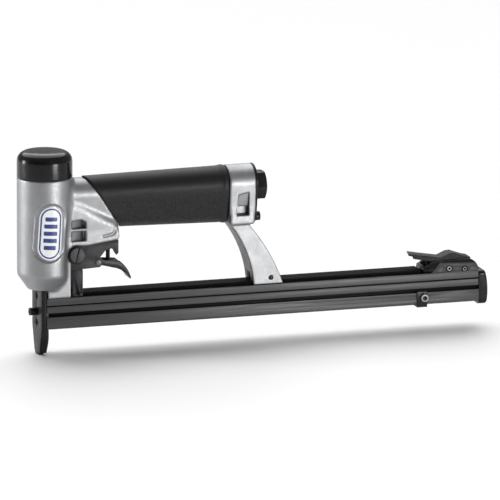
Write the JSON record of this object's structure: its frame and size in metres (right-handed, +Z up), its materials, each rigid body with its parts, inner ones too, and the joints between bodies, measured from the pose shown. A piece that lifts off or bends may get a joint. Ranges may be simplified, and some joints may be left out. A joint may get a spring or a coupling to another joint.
{
  "type": "pneumatic stapler",
  "caption": "Compressed-air upholstery stapler with a vertical drive barrel, rubber-gripped handle, trigger and a long sliding bottom-loading magazine.",
  "frame": {"origin": "the middle of the flat foot of the nose plate, just ahead of the point where a staple leaves the nose", "axes": "+Z up along the drive barrel, +X along the magazine away from the nose, +Y to the left when held with the nose ahead"},
  "size_m": [0.3504, 0.04, 0.1485],
  "materials": {
    "cast_aluminium": "satin cast, fine grain",
    "black_cap": "glossy black",
    "grip_rubber": "matt, fine leathery grain",
    "black_steel": "black oxide, satin",
    "magazine_gray": "dark gray anodised, brushed along its length",
    "dark_gray_steel": "dark gray satin",
    "bright_steel": "ground steel",
    "seal_rubber": "smooth black rubber",
    "bumper_rubber": "smooth moulded urethane",
    "badge_white": "glossy white with a blue rim",
    "filter_mesh": "sintered",
    "brass_bushing": "turned brass"
  },
  "bodies": {
    "tool_frame": {"cap": "black_cap", "cap_seal": "seal_rubber", "head_valve_spring": "bright_steel", "cylinder_sleeve": "cast_aluminium", "sleeve_orings": "seal_rubber", "bumper": "bumper_rubber", "body_casting": "cast_aluminium", "badge": "badge_white", "grip_sleeve": "grip_rubber", "rear_bracket": "cast_aluminium", "strut_pin": "black_steel", "end_gasket": "seal_rubber", "end_plate": "black_steel", "inlet_fitting": "black_steel", "inlet_filter": "filter_mesh", "end_plate_screw": "black_steel", "trigger_bracket": "dark_gray_steel", "trigger_pin": "dark_gray_steel", "pivot_screw": "black_steel", "valve_bushing": "brass_bushing", "valve_bushing_orings": "seal_rubber", "valve_spring": "bright_steel", "hanger_bracket": "dark_gray_steel", "hanger_screws": "black_steel", "nose_front_plate": "dark_gray_steel", "nose_recessed_screws": "black_steel", "nose_centre_screw": "black_steel", "nose_rear_guide": "black_steel", "magazine_rail": "magazine_gray", "rail_top_strip": "black_steel", "latch_side_plates": "magazine_gray", "latch_block": "black_steel", "latch_pins": "black_steel", "latch_spring": "bright_steel"},
    "head_valve": {"head_valve": "black_steel", "head_valve_oring": "seal_rubber"},
    "piston": {"piston": "bright_steel", "piston_oring": "seal_rubber", "driver_blade": "bright_steel", "driver_pin": "bright_steel"},
    "trigger": {"trigger": "black_steel"},
    "valve_stem": {"valve_stem": "black_steel", "valve_stem_oring": "seal_rubber"},
    "latch_lever": {"latch_lever": "dark_gray_steel"},
    "magazine_slide": {"slide_channel": "magazine_gray", "staple_core": "black_steel", "pusher_guide_rod": "bright_steel", "pusher_spring": "bright_steel", "end_cap": "black_cap", "stop_clip": "black_steel", "stop_clip_screw": "black_steel"},
    "pusher": {"pusher": "dark_gray_steel"}
  },
  "joints": [
    {"name": "head_valve_lift", "type": "slide", "parent": "tool_frame", "child": "head_valve", "axis": [0, 0, 1], "range_m": [0, 0.003], "stiffness_N_per_m": 600, "deforming": ["head_valve_spring"]},
    {"name": "driver_stroke", "type": "slide", "parent": "tool_frame", "child": "piston", "axis": [0, 0, -1], "range_m": [0, 0.041]},
    {"name": "trigger_pull", "type": "hinge", "parent": "tool_frame", "child": "trigger", "pos_m": [0.0404, 0, 0.0661], "axis": [0, -1, 0], "range_deg": [0, 8], "stiffness_Nm_per_rad": 0.3},
    {"name": "valve_stem_lift", "type": "slide", "parent": "tool_frame", "child": "valve_stem", "axis": [0, 0, 1], "range_m": [0, 0.0014], "deforming": ["valve_spring"]},
    {"name": "latch_press", "type": "hinge", "parent": "tool_frame", "child": "latch_lever", "pos_m": [0.304, 0, 0.0448], "axis": [0, -1, 0], "range_deg": [0, 9], "stiffness_Nm_per_rad": 0.3, "deforming": ["latch_spring"]},
    {"name": "magazine_open", "type": "slide", "parent": "tool_frame", "child": "magazine_slide", "axis": [1, 0, 0], "range_m": [0, 0.16]},
    {"name": "pusher_travel", "type": "slide", "parent": "magazine_slide", "child": "pusher", "axis": [1, 0, 0], "range_m": [0, 0.285], "stiffness_N_per_m": 8, "deforming": ["pusher_spring"]}
  ],
  "couplings": [
    {"joint": "valve_stem_lift", "follows": "trigger_pull", "m_per_rad": 0.0098}
  ]
}
